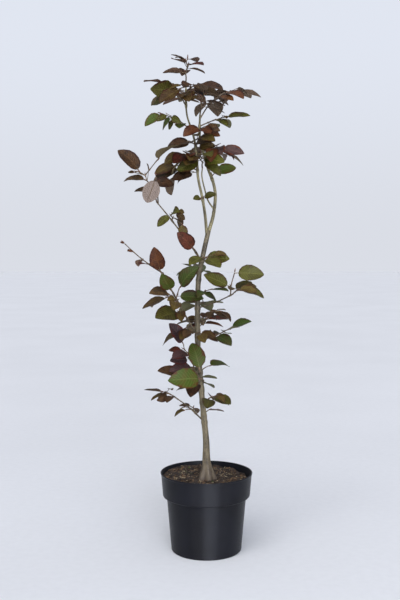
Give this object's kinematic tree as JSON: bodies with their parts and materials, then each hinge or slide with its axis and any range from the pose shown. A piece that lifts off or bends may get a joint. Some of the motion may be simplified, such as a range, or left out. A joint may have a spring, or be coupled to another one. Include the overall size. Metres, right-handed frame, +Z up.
{
  "type": "potted copper beech tree",
  "caption": "Young purple-leaved beech with a slender stem that forks into two leaders, thin boughs and sparse layered leaves, in a round tapered nursery pot with a deep collar.",
  "frame": {"origin": "centre of the pot's flat underside, which stands on the floor", "axes": "+Z up; +X to the right and -Y towards the viewer, seen from the plant's front, where the long bare arm reaches left"},
  "size_m": [0.3088, 0.2307, 1.072],
  "materials": {
    "pot": "near-black moulded plastic with a soft blue-grey sheen and a few pale scuffs",
    "compost": "moist brown bark compost with pale chips",
    "bark": "smooth grey-green young bark with fine lighter flecks",
    "young_bark": "olive brown shoots, smooth and slightly glossy",
    "foliage_bronze": "bronze to red-purple leaves, satin, with pale sunken veins",
    "foliage_olive": "olive green leaves with reddish margins, satin"
  },
  "bodies": {
    "root": {"pot": "pot", "compost": "compost", "trunk": "bark", "right_leader": "young_bark", "left_leader": "young_bark", "side_leader": "young_bark", "left_arm": "young_bark", "lower_left_arm": "young_bark", "right_arm": "young_bark", "bottom_left_arm": "young_bark", "crown_tip": "foliage_bronze", "top_right_front": "foliage_bronze", "top_left_back": "foliage_bronze", "top_left_front": "foliage_olive", "top_right_long": "foliage_bronze", "top_right_low": "foliage_bronze", "top_back": "foliage_bronze", "mid_right": "foliage_olive", "mid_right_front": "foliage_bronze", "mid_left_long": "foliage_olive", "head_left": "foliage_bronze", "head_left_low": "foliage_bronze", "head_right": "foliage_bronze", "head_front": "foliage_olive", "head_back": "foliage_bronze", "right_leaf": "foliage_olive", "left_cluster": "foliage_bronze", "leader_sprig": "foliage_olive", "left_arm_foot": "foliage_bronze", "left_arm_middle": "foliage_olive", "left_arm_tip": "foliage_bronze", "left_arm_inner": "foliage_bronze", "trunk_upper": "foliage_olive", "outer_left": "foliage_bronze", "outer_left_leaf": "foliage_bronze", "lower_left_green": "foliage_olive", "lower_left_inner": "foliage_olive", "lower_left_brown": "foliage_bronze", "lower_left_olive": "foliage_olive", "right_arm_tip": "foliage_olive", "right_arm_upper": "foliage_olive", "trunk_front": "foliage_olive", "right_slender": "foliage_bronze", "back_middle": "foliage_olive", "right_low": "foliage_olive", "left_dark": "foliage_bronze", "front_green": "foliage_olive", "right_blade": "foliage_olive", "front_large": "foliage_olive", "left_purple": "foliage_bronze", "left_low_dark": "foliage_bronze", "bottom_left_tip": "foliage_bronze", "bottom_left_foot": "foliage_bronze", "right_bottom": "foliage_olive", "right_bottom_low": "foliage_bronze", "back_low": "foliage_olive", "back_side": "foliage_bronze", "back_upper": "foliage_olive"}
  },
  "joints": []
}
